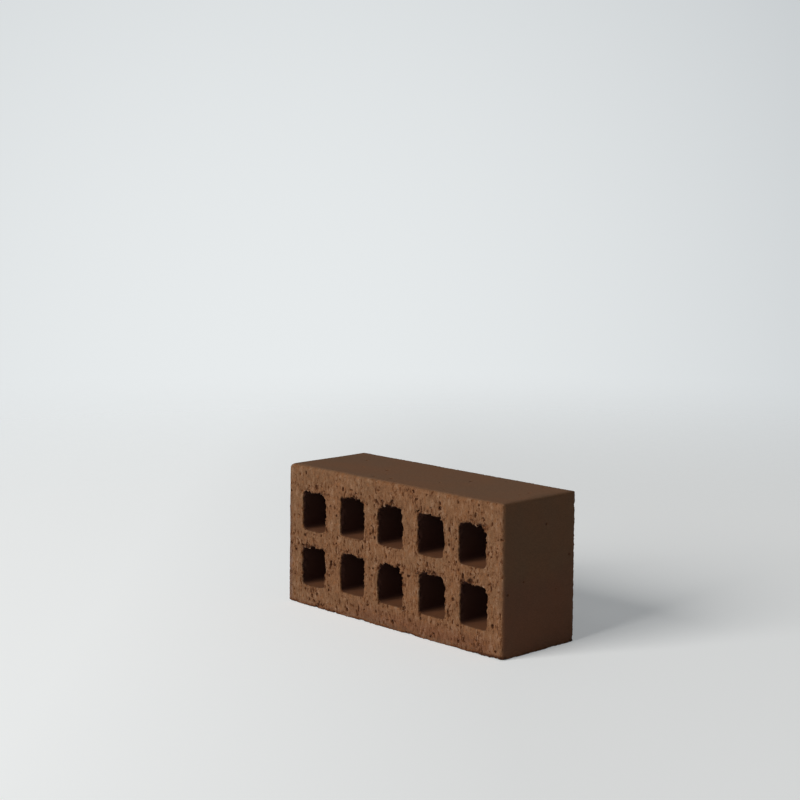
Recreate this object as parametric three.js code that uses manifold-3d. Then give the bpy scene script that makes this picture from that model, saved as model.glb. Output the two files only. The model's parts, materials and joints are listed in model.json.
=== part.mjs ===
// A ten-hole facing brick: one piece of extruded, wire-cut and fired clay.
// It lies on a long narrow face. X runs along its length, Y along its thickness and Z along
// its width. The clay column left the die along Y, so the ten holes and the four die-made
// edges run along Y, and a falling wire cut the two broad bed faces that look along -Y and +Y.
// All sizes are in millimetres.
import * as THREE from "three";
import { mergeVertices } from "three/addons/utils/BufferGeometryUtils.js";
import Module from "manifold-3d";

const wasm = await Module();
wasm.setup();

// The outside of the fired brick.
const LENGTH = 230;
const WIDTH = 110;
const THICKNESS = 76;

// Edge roundings. The die makes the edges along Y, and its upper left corner has slumped.
// The wire softens the edge that it enters by, drags the right edges round and leaves the left
// edges and the one that it comes out of nearly square.
const DIE_EDGE_RADIUS = 1.8;
const SLUMPED_CORNER_RADIUS = 5;
// How far the left end leans in at the top, under the slumped corner.
const SLUMP_LEAN = 2.6;
const WIRE_ENTRY_RADIUS = 3;
const WIRE_LEFT_RADIUS = 1.2;
const WIRE_RIGHT_RADIUS = 3.4;
const WIRE_EXIT_RADIUS = 0.9;

// The holes: two rows of five, as the core pins of the die shape them.
const HOLE_COLUMNS = 5;
const HOLE_ROWS = 2;
const HOLE_LENGTH = 26.5;
const HOLE_WIDTH = 30;
const HOLE_PITCH_X = 42.8;
const HOLE_PITCH_Z = 43.4;
const HOLE_CORNER_RADIUS = 3;
// The flowing clay wears the upper corners of each pin, the right one most. These are the
// radii from the left of each row, the lower row first.
const WORN_LEFT_RADII = [
  [3, 3.5, 4.5, 5, 3],
  [3.5, 4, 6.5, 5, 3],
];
const WORN_RIGHT_RADII = [
  [4, 5.5, 5.5, 7, 4.5],
  [6.5, 6.5, 6, 8, 5],
];
// How far it has pushed each pin to the right of its even place, and each column of pins down.
const PIN_DRIFT = [
  [0.5, 2.6, 1.7, 2.6, 1.8],
  [1.9, 2.6, 1.3, 1.4, 0.2],
];
const PIN_SAG = [2.2, 0.2, 0.2, 0.2, 0];

// The mouths. The wire pulls crumbs out of the upper lip, where it leaves the clay, and
// brushes the two sides. The tear runs out with depth, and the lower lip stays clean.
const LIP_TEAR = 2;
const SIDE_TEAR = 0.7;
const TEAR_BAND = 5;
const TEAR_DEPTH = 6;
const TEAR_STEPS = 3;
// The lengths and shares of the waves that make a torn lip uneven.
const TEAR_WAVES = [
  { length: 16.3, share: 0.5 },
  { length: 7.1, share: 0.3 },
  { length: 4.9, share: 0.2 },
];

// The main pits that the wire tears out of a bed face: the place along and above the middle of
// the foot, then the size across and up. They gather above the holes, in the webs and along the
// foot. The rear bed has the same ones, turned round with it.
const TORN_PITS = [
  [-93, 104.5, 2.4, 4],
  [-50.5, 97.5, 2.6, 4.5],
  [-36, 96.4, 2.8, 2],
  [-12, 93.6, 3, 2.4],
  [3.5, 95.8, 3.4, 3.4],
  [26, 107, 3, 2.6],
  [44.5, 97.2, 2.8, 2],
  [53.8, 98.6, 3.4, 4],
  [92, 106.2, 2.2, 2.6],
  [96, 97.6, 2.8, 2.2],
  [105, 95, 1.8, 3.8],
  [-65, 82.3, 2.4, 2.2],
  [-58, 76, 2.6, 2.6],
  [-15.2, 66, 2.6, 3.6],
  [63.3, 84.5, 2.6, 4.6],
  [63, 73.5, 2.8, 2.6],
  [-95, 55.5, 3, 3],
  [-28.5, 56.5, 2.2, 5],
  [40.8, 55.6, 2.4, 5.4],
  [76.8, 53.2, 3, 6.6],
  [84.5, 56, 2.2, 2.8],
  [-105.5, 42.5, 2.8, 2.4],
  [-64, 38.5, 2.6, 6.5],
  [-66.5, 28.5, 2.8, 2.6],
  [21, 43.5, 2.6, 2.6],
  [67, 35, 2.8, 3.4],
  [106, 23, 3, 4.2],
  [-67, 17, 2.4, 3.2],
  [34.5, 14.6, 3.2, 2.6],
  [-33, 9, 2, 8],
  [-13.5, 10.5, 2.2, 3.4],
  [-46, 5.6, 2.4, 4],
  [48, 6, 2.8, 2.2],
  [73, 5.6, 2.6, 3],
  [109, 5.6, 2.6, 2.6],
];
const PIT_DEPTH_SHARE = 0.7;

const ARC_STEPS = 4;
const SIDE_STEPS = 7;
const CUT_ALLOWANCE = 2;

const CLAY_COLOUR = 0x7d5440;
const CLAY_ROUGHNESS = 0.9;

const X_AXIS = new THREE.Vector3(1, 0, 0);
const Y_AXIS = new THREE.Vector3(0, 1, 0);
const Z_AXIS = new THREE.Vector3(0, 0, 1);

// A rectangle centred on the origin, with its own rounding at each corner.
function roundedRectangle(across, up, { lowerLeft, lowerRight, upperRight, upperLeft }) {
  const right = across / 2;
  const top = up / 2;
  const quarter = Math.PI / 2;
  const outline = new THREE.Shape();
  outline.absarc(-right + lowerLeft, -top + lowerLeft, lowerLeft, 2 * quarter, 3 * quarter);
  outline.absarc(right - lowerRight, -top + lowerRight, lowerRight, 3 * quarter, 4 * quarter);
  outline.absarc(right - upperRight, top - upperRight, upperRight, 0, quarter);
  outline.absarc(-right + upperLeft, top - upperLeft, upperLeft, quarter, 2 * quarter);
  outline.closePath();
  return outline;
}

// The same rounding at the two lower corners, and at the two upper ones.
function roundings(lower, upper = lower) {
  return { lowerLeft: lower, lowerRight: lower, upperRight: upper, upperLeft: upper };
}

// A closed geometry as a solid that can be joined and cut.
function solidOf(geometry) {
  geometry.deleteAttribute("normal");
  geometry.deleteAttribute("uv");
  const merged = mergeVertices(geometry);
  return new wasm.Manifold(
    new wasm.Mesh({
      numProp: 3,
      vertProperties: merged.getAttribute("position").array,
      triVerts: Uint32Array.from(merged.index.array),
    }),
  );
}

// A solid as a geometry that a mesh can show.
function geometryOf(solid) {
  const { vertProperties, triVerts } = solid.getMesh();
  const geometry = new THREE.BufferGeometry();
  geometry.setAttribute("position", new THREE.BufferAttribute(vertProperties, 3));
  geometry.setIndex(new THREE.BufferAttribute(triVerts, 1));
  geometry.computeVertexNormals();
  return geometry;
}

// An outline in the plane of two axes, pushed both ways along the third to a depth.
function prism(outline, depth, acrossAxis, upAxis) {
  const geometry = new THREE.ExtrudeGeometry(outline, {
    depth,
    bevelEnabled: false,
    curveSegments: ARC_STEPS,
  });
  const alongAxis = new THREE.Vector3().crossVectors(acrossAxis, upAxis);
  geometry.translate(0, 0, -depth / 2);
  geometry.applyMatrix4(new THREE.Matrix4().makeBasis(acrossAxis, upAxis, alongAxis));
  return solidOf(geometry);
}

// A closed skin over rings of equally many points, each ring level in Y and further back than
// the one before it.
function loft(rings) {
  const count = rings[0].length;
  const last = (rings.length - 1) * count;
  const faces = [];
  for (let start = 0; start < last; start += count) {
    for (let i = 0; i < count; i += 1) {
      const here = start + i;
      const next = start + ((i + 1) % count);
      faces.push(here, next + count, next, here, here + count, next + count);
    }
  }
  const lid = (ring) => THREE.ShapeUtils.triangulateShape(
    ring.map((point) => new THREE.Vector2(point.x, point.z)),
    [],
  );
  for (const [a, b, c] of lid(rings[0])) faces.push(a, b, c);
  for (const [a, b, c] of lid(rings.at(-1))) faces.push(last + a, last + c, last + b);
  const geometry = new THREE.BufferGeometry().setFromPoints(rings.flat());
  geometry.setIndex(faces);
  return solidOf(geometry);
}

// The clay block before its holes: what the die's section, the side view and the view from
// above have in common, so that each family of edges keeps its own rounding.
function clayBlock() {
  const dieCorners = { ...roundings(DIE_EDGE_RADIUS), upperLeft: SLUMPED_CORNER_RADIUS };
  const section = roundedRectangle(LENGTH, WIDTH, dieCorners);
  const sideCorners = roundings(WIRE_EXIT_RADIUS, WIRE_ENTRY_RADIUS);
  const sideView = roundedRectangle(THICKNESS, WIDTH, sideCorners);
  const viewFromAbove = roundedRectangle(LENGTH, THICKNESS, {
    lowerLeft: WIRE_LEFT_RADIUS,
    lowerRight: WIRE_RIGHT_RADIUS,
    upperRight: WIRE_RIGHT_RADIUS,
    upperLeft: WIRE_LEFT_RADIUS,
  });
  const throughThickness = prism(section, THICKNESS, X_AXIS, Z_AXIS);
  const throughLength = prism(sideView, LENGTH, Y_AXIS, Z_AXIS);
  const throughWidth = prism(viewFromAbove, WIDTH, X_AXIS, Y_AXIS);
  const square = throughThickness.intersect(throughLength).intersect(throughWidth);
  return square.warp((point) => {
    const height = point[2] / WIDTH + 1 / 2;
    const leftward = Math.max(-point[0] / (LENGTH / 2), 0);
    point[0] += SLUMP_LEAN * height * leftward;
  });
}

// The section of one core pin, as points round it.
function pinSection(column, row) {
  const corners = {
    ...roundings(HOLE_CORNER_RADIUS),
    upperLeft: WORN_LEFT_RADII[row][column],
    upperRight: WORN_RIGHT_RADII[row][column],
  };
  const { curves } = roundedRectangle(HOLE_LENGTH, HOLE_WIDTH, corners);
  return curves.flatMap((curve) => {
    const steps = curve.type === "LineCurve" ? SIDE_STEPS : ARC_STEPS;
    return curve.getPoints(steps).slice(0, -1);
  });
}

// An uneven wave from 0 to 1 along a lip. Each seed starts it somewhere else.
function unevenness(distance, seed) {
  const sum = TEAR_WAVES.reduce(
    (total, { length, share }, i) =>
      total + share * Math.sin((2 * Math.PI * distance) / length + seed * (i + 1)),
    0,
  );
  return (1 + sum) / 2;
}

// One ring of a hole: the pin's section, torn outwards at the lip and the sides by a share.
function holeRing(section, y, tornShare, seed) {
  const right = HOLE_LENGTH / 2;
  const top = HOLE_WIDTH / 2;
  return section.map((point) => {
    const nearLip = THREE.MathUtils.smoothstep(point.y, top - TEAR_BAND, top);
    const nearSide = THREE.MathUtils.smoothstep(Math.abs(point.x), right - TEAR_BAND, right);
    const rise = LIP_TEAR * nearLip * unevenness(point.x, seed);
    const spread = SIDE_TEAR * nearSide * unevenness(point.y, seed);
    const x = point.x + Math.sign(point.x) * spread * tornShare;
    return new THREE.Vector3(x, y, point.y + rise * tornShare);
  });
}

// What one core pin leaves open, from bed face to bed face, with a torn mouth at both.
function hole(column, row) {
  const section = pinSection(column, row);
  const seed = 1 + column + HOLE_COLUMNS * row;
  const frontRings = [];
  const rearRings = [];
  for (let step = 0; step <= TEAR_STEPS; step += 1) {
    const y = THICKNESS / 2 - (TEAR_DEPTH * step) / TEAR_STEPS;
    const tornShare = (1 - step / TEAR_STEPS) ** 2;
    frontRings.push(holeRing(section, -y, tornShare, seed));
    rearRings.unshift(holeRing(section, y, tornShare, -seed));
  }
  const outside = THICKNESS / 2 + CUT_ALLOWANCE;
  frontRings.unshift(holeRing(section, -outside, 1, seed));
  rearRings.push(holeRing(section, outside, 1, -seed));
  const x = (column - (HOLE_COLUMNS - 1) / 2) * HOLE_PITCH_X + PIN_DRIFT[row][column];
  const z = (row - (HOLE_ROWS - 1) / 2) * HOLE_PITCH_Z - PIN_SAG[column];
  return loft([...frontRings, ...rearRings]).translate([x, 0, z]);
}

// A torn pit, as a stretched lump with its middle on the front bed (-1) or the rear one (1).
function tornPit([along, above, across, up], side) {
  const lump = new THREE.IcosahedronGeometry(1, 0);
  lump.scale(across / 2, PIT_DEPTH_SHARE * Math.min(across, up), up / 2);
  return solidOf(lump).translate([-side * along, (side * THICKNESS) / 2, above - WIDTH / 2]);
}

function brickSolid() {
  let solid = clayBlock();
  for (const pit of TORN_PITS) {
    solid = solid.subtract(tornPit(pit, -1)).subtract(tornPit(pit, 1));
  }
  for (let column = 0; column < HOLE_COLUMNS; column += 1) {
    for (let row = 0; row < HOLE_ROWS; row += 1) {
      solid = solid.subtract(hole(column, row));
    }
  }
  return solid;
}

const firedClay = new THREE.MeshStandardMaterial({
  color: CLAY_COLOUR,
  roughness: CLAY_ROUGHNESS,
  metalness: 0,
});

const brick = new THREE.Mesh(geometryOf(brickSolid()), firedClay);
brick.name = "brick";
brick.position.z = WIDTH / 2;

const part = new THREE.Group();
part.name = "clay_brick";
part.add(brick);

export default part;
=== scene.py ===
# %% [markdown]
# # A cored clay brick, from the plain body to the fired surface
#
# A stiff column of clay is pushed through a die, cut into bricks by a falling wire, dried and
# fired. The die leaves smooth faces and smooth holes. The wire leaves torn, streaked faces.
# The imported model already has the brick's size, its ten holes with their torn mouths, and its
# largest pits. So this lesson keeps that body and works on its skin: the crumbs, the small
# pits, the ragged edges and the colour of the clay. The first step loads the model.

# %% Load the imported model
import json
import math
import random

import bpy
import numpy as np
from mathutils import Matrix, Vector, noise
from mathutils.bvhtree import BVHTree

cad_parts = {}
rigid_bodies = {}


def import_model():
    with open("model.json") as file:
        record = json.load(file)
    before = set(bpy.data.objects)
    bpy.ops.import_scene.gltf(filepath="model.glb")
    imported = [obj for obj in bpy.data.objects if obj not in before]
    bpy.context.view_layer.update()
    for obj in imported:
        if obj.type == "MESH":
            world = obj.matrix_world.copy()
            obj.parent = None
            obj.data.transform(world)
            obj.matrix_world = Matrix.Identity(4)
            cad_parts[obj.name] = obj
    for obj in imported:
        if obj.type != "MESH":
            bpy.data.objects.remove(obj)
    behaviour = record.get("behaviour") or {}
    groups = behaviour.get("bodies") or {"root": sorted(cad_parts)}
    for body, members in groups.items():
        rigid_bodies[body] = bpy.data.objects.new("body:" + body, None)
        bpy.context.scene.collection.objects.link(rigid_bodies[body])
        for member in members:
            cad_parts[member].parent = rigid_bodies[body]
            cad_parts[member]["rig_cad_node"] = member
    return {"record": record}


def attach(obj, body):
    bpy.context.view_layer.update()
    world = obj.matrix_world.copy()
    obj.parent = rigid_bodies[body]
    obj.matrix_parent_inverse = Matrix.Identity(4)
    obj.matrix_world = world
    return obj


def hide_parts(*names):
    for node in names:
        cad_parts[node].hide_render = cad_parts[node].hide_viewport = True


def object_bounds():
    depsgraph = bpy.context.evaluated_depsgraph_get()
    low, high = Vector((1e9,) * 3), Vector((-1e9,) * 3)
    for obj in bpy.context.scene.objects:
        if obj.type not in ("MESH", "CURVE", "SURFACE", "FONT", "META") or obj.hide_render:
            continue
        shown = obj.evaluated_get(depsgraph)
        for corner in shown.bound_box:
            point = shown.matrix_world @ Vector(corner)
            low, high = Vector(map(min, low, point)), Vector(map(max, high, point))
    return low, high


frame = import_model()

MM = 0.001
cad_low, cad_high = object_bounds()
print("brick, mm:", [round(side / MM, 1) for side in cad_high - cad_low])

# %% [markdown]
# ## Camera
#
# The lens is a short telephoto, a little above the brick and to the right of it, so that the
# bed face with the holes, the top and one end are all in view. Its place is given in metres
# from the middle of the brick's foot, and its turn in radians, as yaw, pitch and a very small
# roll.

# %% Camera
IMAGE_PIXELS = 800
FOCAL_PIXELS = 1712.6
SENSOR_WIDTH = 36.0
CAMERA_PLACE = (0.9026, -0.8718, 0.3372)
CAMERA_YAW = 0.8182
CAMERA_PITCH = 0.1350
CAMERA_ROLL = 0.0024


def look(yaw, pitch, roll):
    """The turn of a camera that looks along +Y at zero yaw and pitch, and down as pitch grows."""
    turn = Matrix.Rotation(yaw, 3, "Z") @ Matrix.Rotation(math.pi / 2 - pitch, 3, "X")
    return (turn @ Matrix.Rotation(roll, 3, "Z")).to_euler()


bpy.ops.object.camera_add(location=CAMERA_PLACE)
camera = bpy.context.object
camera.rotation_euler = look(CAMERA_YAW, CAMERA_PITCH, CAMERA_ROLL)
camera.data.sensor_width = SENSOR_WIDTH
camera.data.lens = SENSOR_WIDTH * FOCAL_PIXELS / IMAGE_PIXELS
bpy.context.scene.camera = camera
bpy.context.scene.view_settings.view_transform = "Standard"
print("lens, mm:", round(camera.data.lens, 1))

# %% [markdown]
# ## Light
#
# One large softbox stands far off, low and a little to the left of the bed face, so the
# streaks and pits of the wire show and the right end falls into shade. A weak cool glow from
# all round stands for the white room. The power of the softbox is worked out from the level
# wanted at the brick: a level of 1 shows a colour just as written on a face turned to it.

# %% Softbox
KEY_LEVEL = 1.05
KEY_HEADING = math.radians(-9)
KEY_ELEVATION = math.radians(29)
KEY_DISTANCE = 9.0
KEY_WIDTH = 5.2
KEY_COLOUR = (1.0, 0.985, 0.955)


def add_softbox():
    """A square lamp that looks at the brick. Heading 0 stands before the bed face, on -Y."""
    away = Vector((
        math.sin(KEY_HEADING) * math.cos(KEY_ELEVATION),
        -math.cos(KEY_HEADING) * math.cos(KEY_ELEVATION),
        math.sin(KEY_ELEVATION),
    ))
    turn = away.to_track_quat("Z", "Y").to_euler()
    bpy.ops.object.light_add(type="AREA", location=away * KEY_DISTANCE, rotation=turn)
    lamp = bpy.context.object
    lamp.name = "softbox"
    lamp.data.size = KEY_WIDTH
    lamp.data.color = KEY_COLOUR
    lamp.data.energy = KEY_LEVEL * (math.pi * KEY_DISTANCE) ** 2
    return lamp


softbox = add_softbox()
print("softbox, W:", round(softbox.data.energy, 1))

# %% [markdown]
# ## Room
#
# The backdrop is brightest behind the brick, a little to its left, and grows slightly darker
# towards the corners, as a sheet of paper lit by one lamp does. Only the camera sees it. What
# lights the brick is a plain weak glow.

# %% Room glow and backdrop
GLOW_LEVEL = 0.10
GLOW_COLOUR = (0.93, 0.96, 1.0, 1.0)
BACKDROP_BRIGHT = (0.80, 0.83, 0.84, 1.0)
BACKDROP_DIM = (0.52, 0.55, 0.57, 1.0)
BRIGHT_REACH = math.radians(26)
# The way to the brightest place, along the camera's own right, up and backward.
BRIGHT_PLACE = Vector((-0.09, -0.005, -1.0))
# The sockets of a Mix node: how much of the upper colour, the lower and the upper colour, and
# the result.
MIX_AMOUNT = 0
MIX_UNDER = 6
MIX_OVER = 7
MIX_RESULT = 2


def add_room():
    """A plain glow that lights the brick, and a sheet of paper that only the camera sees."""
    room = bpy.data.worlds.new("white_room")
    room.use_nodes = True
    nodes, links = room.node_tree.nodes, room.node_tree.links
    glow = nodes["Background"]
    glow.inputs["Color"].default_value = GLOW_COLOUR
    glow.inputs["Strength"].default_value = GLOW_LEVEL
    direction = nodes.new("ShaderNodeTexCoord")
    nearness = nodes.new("ShaderNodeVectorMath")
    nearness.operation = "DOT_PRODUCT"
    nearness.inputs[1].default_value = camera.matrix_basis.to_3x3() @ BRIGHT_PLACE.normalized()
    brightness = nodes.new("ShaderNodeMapRange")
    brightness.inputs["From Min"].default_value = math.cos(BRIGHT_REACH)
    paper = nodes.new("ShaderNodeMix")
    paper.data_type = "RGBA"
    paper.inputs[MIX_UNDER].default_value = BACKDROP_DIM
    paper.inputs[MIX_OVER].default_value = BACKDROP_BRIGHT
    backdrop = nodes.new("ShaderNodeBackground")
    path = nodes.new("ShaderNodeLightPath")
    choice = nodes.new("ShaderNodeMixShader")
    links.new(direction.outputs["Generated"], nearness.inputs[0])
    links.new(nearness.outputs["Value"], brightness.inputs["Value"])
    links.new(brightness.outputs["Result"], paper.inputs[MIX_AMOUNT])
    links.new(paper.outputs[MIX_RESULT], backdrop.inputs["Color"])
    links.new(path.outputs["Is Camera Ray"], choice.inputs["Fac"])
    links.new(glow.outputs["Background"], choice.inputs[1])
    links.new(backdrop.outputs["Background"], choice.inputs[2])
    links.new(choice.outputs["Shader"], nodes["World Output"].inputs["Surface"])
    bpy.context.scene.world = room
    return room


room = add_room()
print("room:", room.name)

# %% [markdown]
# ## Floor
#
# The floor is one wide pale sheet. Close to the brick it takes the shadow. Further out it
# turns clear to the camera, so it melts into the backdrop and no horizon shows from any side.
# A little glow that only the camera sees lifts it to the paper white of a studio sweep
# without throwing more light on the brick. It is stronger on the left, as the backdrop is.

# %% Studio floor
FLOOR_WIDTH = 12.0
FLOOR_COLOUR = (0.775, 0.785, 0.79, 1.0)
FLOOR_ROUGHNESS = 0.9
FLOOR_GLOW_LEFT = 0.43
FLOOR_GLOW_RIGHT = 0.29
# How far to the right of the brick the glow starts to weaken and is weakest, in metres.
GLOW_LEFT_PLACE = -0.25
GLOW_RIGHT_PLACE = 0.05
# How far from the brick the floor starts to turn clear and is quite clear, in metres.
FADE_START = 0.35
FADE_END = 1.6


def floor_paper():
    """Pale paper that glows a little and turns clear far out, both for the camera alone."""
    paper = bpy.data.materials.new("floor_paper")
    paper.use_nodes = True
    nodes, links = paper.node_tree.nodes, paper.node_tree.links
    shader = nodes["Principled BSDF"]
    shader.inputs["Base Color"].default_value = FLOOR_COLOUR
    shader.inputs["Roughness"].default_value = FLOOR_ROUGHNESS
    shader.inputs["Emission Color"].default_value = BACKDROP_BRIGHT
    path = nodes.new("ShaderNodeLightPath")
    place = nodes.new("ShaderNodeTexCoord")
    rightward = nodes.new("ShaderNodeVectorMath")
    rightward.operation = "DOT_PRODUCT"
    rightward.inputs[1].default_value = camera.matrix_basis.to_3x3() @ Vector((1, 0, 0))
    level = nodes.new("ShaderNodeMapRange")
    level.inputs["From Min"].default_value = GLOW_LEFT_PLACE
    level.inputs["From Max"].default_value = GLOW_RIGHT_PLACE
    level.inputs["To Min"].default_value = FLOOR_GLOW_LEFT
    level.inputs["To Max"].default_value = FLOOR_GLOW_RIGHT
    glow = nodes.new("ShaderNodeMath")
    glow.operation = "MULTIPLY"
    reach = nodes.new("ShaderNodeVectorMath")
    reach.operation = "LENGTH"
    fade = nodes.new("ShaderNodeMapRange")
    fade.interpolation_type = "SMOOTHSTEP"
    fade.inputs["From Min"].default_value = FADE_START
    fade.inputs["From Max"].default_value = FADE_END
    seen_fade = nodes.new("ShaderNodeMath")
    seen_fade.operation = "MULTIPLY"
    clear = nodes.new("ShaderNodeBsdfTransparent")
    blend = nodes.new("ShaderNodeMixShader")
    links.new(place.outputs["Object"], rightward.inputs[0])
    links.new(rightward.outputs["Value"], level.inputs["Value"])
    links.new(path.outputs["Is Camera Ray"], glow.inputs[0])
    links.new(level.outputs["Result"], glow.inputs[1])
    links.new(glow.outputs["Value"], shader.inputs["Emission Strength"])
    links.new(place.outputs["Object"], reach.inputs[0])
    links.new(reach.outputs["Value"], fade.inputs["Value"])
    links.new(fade.outputs["Result"], seen_fade.inputs[0])
    links.new(path.outputs["Is Camera Ray"], seen_fade.inputs[1])
    links.new(seen_fade.outputs["Value"], blend.inputs["Fac"])
    links.new(shader.outputs["BSDF"], blend.inputs[1])
    links.new(clear.outputs["BSDF"], blend.inputs[2])
    links.new(blend.outputs["Shader"], nodes["Material Output"].inputs["Surface"])
    return paper


bpy.ops.mesh.primitive_plane_add(size=FLOOR_WIDTH, location=(0, 0, 0))
floor = bpy.context.object
floor.name = "studio_floor"
floor.data.materials.append(floor_paper())
print("floor, m:", list(floor.dimensions)[:2])

# %% [markdown]
# ## A copy of the body to work on
#
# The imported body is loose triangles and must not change, so its mesh is copied and its
# doubled corners are merged. The copy is the one piece of this scene, and it stands for the
# body in the picture.

# %% Copy the body
MERGE_REACH = 0.001


def select_only(*objects):
    """Selects these objects and no others, and makes the first one active."""
    bpy.ops.object.select_all(action="DESELECT")
    for thing in objects:
        thing.select_set(True)
    bpy.context.view_layer.objects.active = objects[0]


body_node = next(o for o in bpy.context.scene.objects if o.get("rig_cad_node") == "brick")
skin = bpy.data.objects.new("fired_brick", body_node.data.copy())
bpy.context.collection.objects.link(skin)
skin.data.materials.clear()
select_only(skin)
bpy.ops.object.mode_set(mode="EDIT")
bpy.ops.mesh.select_all(action="SELECT")
bpy.ops.mesh.remove_doubles(threshold=MERGE_REACH * MM)
bpy.ops.object.mode_set(mode="OBJECT")
print("merged body:", len(skin.data.vertices), "corners")

# %% [markdown]
# ## Where the holes are
#
# The crumbs and pits gather round the holes, so the holes are found first. The record gives a
# point inside each one. From there a ray to each side, halfway through the brick, meets the
# wall that the core pin left. Nothing is typed again, so it all still fits if a hole moves.

# %% Find the holes, in millimetres
half_thickness = cad_high.y / MM
half_length = cad_high.x / MM
width = cad_high.z / MM


def find_clay(x, y, z, direction):
    """Where a ray from a point in the open meets the clay, in millimetres."""
    hit, place, _, _ = skin.ray_cast(Vector((x, y, z)) * MM, Vector(direction))
    return place / MM if hit else Vector((x, y, z))


def measure_hole(box):
    """The left, right, bottom and top walls of the hole around a box."""
    low, high = box
    x = (low[0] + high[0]) / 2 / MM
    z = (low[2] + high[2]) / 2 / MM
    left = find_clay(x, 0, z, (-1, 0, 0)).x
    right = find_clay(x, 0, z, (1, 0, 0)).x
    bottom = find_clay(x, 0, z, (0, 0, -1)).z
    top = find_clay(x, 0, z, (0, 0, 1)).z
    return [left, right, bottom, top]


openings = frame["record"]["physics"]["openings"]
holes = np.array([measure_hole(opening["box_m"]) for opening in openings])
print(len(holes), "holes, the first:", holes[0].round(1))

# %% [markdown]
# ## Crumbs at the lips
#
# Where the falling wire leaves the clay above a hole, it drags small crumbs over the lip, and
# they fire on hard. A crumb could be sculpted, but there are hundreds, so one is modelled: a
# ball whose points are shaken about. Copies of it, each with its own size and turn, are set
# along the torn lips and on the walls beside them, and a few along the brick's upright edges.
# The random draws start from a fixed seed, so every run gives the same brick.

# %% Model one crumb
CRUMB_RADIUS = 0.5
CRUMB_SHAKE = 0.17


def model_crumb():
    """A shaken ball, at the origin."""
    bpy.ops.object.select_all(action="DESELECT")
    bpy.ops.mesh.primitive_ico_sphere_add(subdivisions=2, radius=CRUMB_RADIUS * MM)
    crumb = bpy.context.object
    crumb.name = "crumb"
    bpy.ops.object.mode_set(mode="EDIT")
    bpy.ops.transform.vertex_random(offset=CRUMB_SHAKE * MM, uniform=0.3, normal=0.6, seed=4)
    bpy.ops.object.mode_set(mode="OBJECT")
    return crumb


crumb = model_crumb()
print("crumb:", len(crumb.data.polygons), "faces")

# %% Set crumbs along the lips
LIP_CRUMBS = 12
SIDE_CRUMBS = 6
EDGE_CRUMBS = 26
# The least and the most scale of a crumb, and how much longer than wide it may be.
LIP_SCALES = (0.6, 1.6, 1.5)
SIDE_SCALES = (0.5, 1.2, 2.2)
EDGE_SCALES = (0.5, 1.1, 1.8)
MOST_LEAN = 0.6
# How far behind the bed face the lips and walls are looked for, in millimetres.
LOOK_IN = 0.9
draw = random.Random(7)


def set_crumb(place, low_scale, high_scale, stretch):
    """A copy of the crumb at a place, in millimetres, randomly sized and turned."""
    copy = bpy.data.objects.new("crumb", crumb.data.copy())
    size = draw.uniform(low_scale, high_scale)
    long = size * draw.uniform(1.0, stretch)
    lean = Matrix.Rotation(draw.uniform(-MOST_LEAN, MOST_LEAN), 4, "Y")
    spin = Matrix.Rotation(draw.uniform(0, math.tau), 4, "Z")
    shape = Matrix.Diagonal((size, size, long, 1.0))
    copy.data.transform(Matrix.Translation(Vector(place) * MM) @ lean @ spin @ shape)
    bpy.context.collection.objects.link(copy)
    return copy


def random_y(side, least, most):
    """A place this far behind the bed face on -Y, for side -1, or on +Y, for side 1."""
    return side * (half_thickness - draw.uniform(least, most))


def add_lip_crumb(hole, side):
    """A crumb at the upper lip of a hole."""
    left, right, bottom, top = hole
    x = draw.uniform(left + 1, right - 1)
    lip = find_clay(x, side * (half_thickness - LOOK_IN), (bottom + top) / 2, (0, 0, 1))
    y = random_y(side, 0.0, 1.4)
    return set_crumb((x, y, lip.z + draw.uniform(-0.2, 0.7)), *LIP_SCALES)


def add_side_crumb(hole, side):
    """A crumb on the left or right wall of a hole."""
    left, right, bottom, top = hole
    z = draw.uniform(bottom + 3, top)
    way = draw.choice((-1, 1))
    wall = find_clay((left + right) / 2, side * (half_thickness - LOOK_IN), z, (way, 0, 0))
    y = random_y(side, 0.0, 1.2)
    return set_crumb((wall.x + way * 0.3, y, z), *SIDE_SCALES)


def add_edge_crumb():
    """A crumb on an upright edge of the brick, more often on the bed that looks along +Y."""
    end = draw.choice((-1, 1))
    y = random_y(draw.choice((-1, 1, 1)), 0.4, 1.4)
    z = draw.uniform(6, width - 10)
    edge = find_clay(2 * end * half_length, y, z, (-end, 0, 0))
    return set_crumb((edge.x, y, z), *EDGE_SCALES)


crumbs = []
for hole in holes:
    for side in (-1, 1):
        crumbs += [add_lip_crumb(hole, side) for _ in range(LIP_CRUMBS)]
        crumbs += [add_side_crumb(hole, side) for _ in range(SIDE_CRUMBS)]
crumbs += [add_edge_crumb() for _ in range(EDGE_CRUMBS)]
bpy.data.objects.remove(crumb)
print(len(crumbs), "crumbs")

# %% [markdown]
# ## One skin over body and crumbs
#
# The body and its crumbs are joined, and a voxel remesh lays one even net over them. It welds
# the crumbs on, and it gives the flat faces enough points to carry streaks and pits. The
# net's mesh is a little over half a millimetre, about the size of the clay's finer grains.
# The bare body is kept as a search tree, to tell later what stands out from it.

# %% Fuse
NET_SIZE = 0.55

select_only(skin)
bare_body = BVHTree.FromObject(skin, bpy.context.evaluated_depsgraph_get())
select_only(skin, *crumbs)
bpy.ops.object.join()
net = skin.modifiers.new("net", "REMESH")
net.mode = "VOXEL"
net.voxel_size = NET_SIZE * MM
bpy.ops.object.modifier_apply(modifier=net.name)
print("net:", len(skin.data.vertices), "points")

# %% [markdown]
# ## Where each point lies
#
# The wire, the die and the hands that carried the wet brick each left their own marks in
# their own places. So every point of the net is first told how far it is from the bed faces,
# from the outer sides and from the nearest hole. All of it is measured in millimetres, before
# anything is moved.

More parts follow.
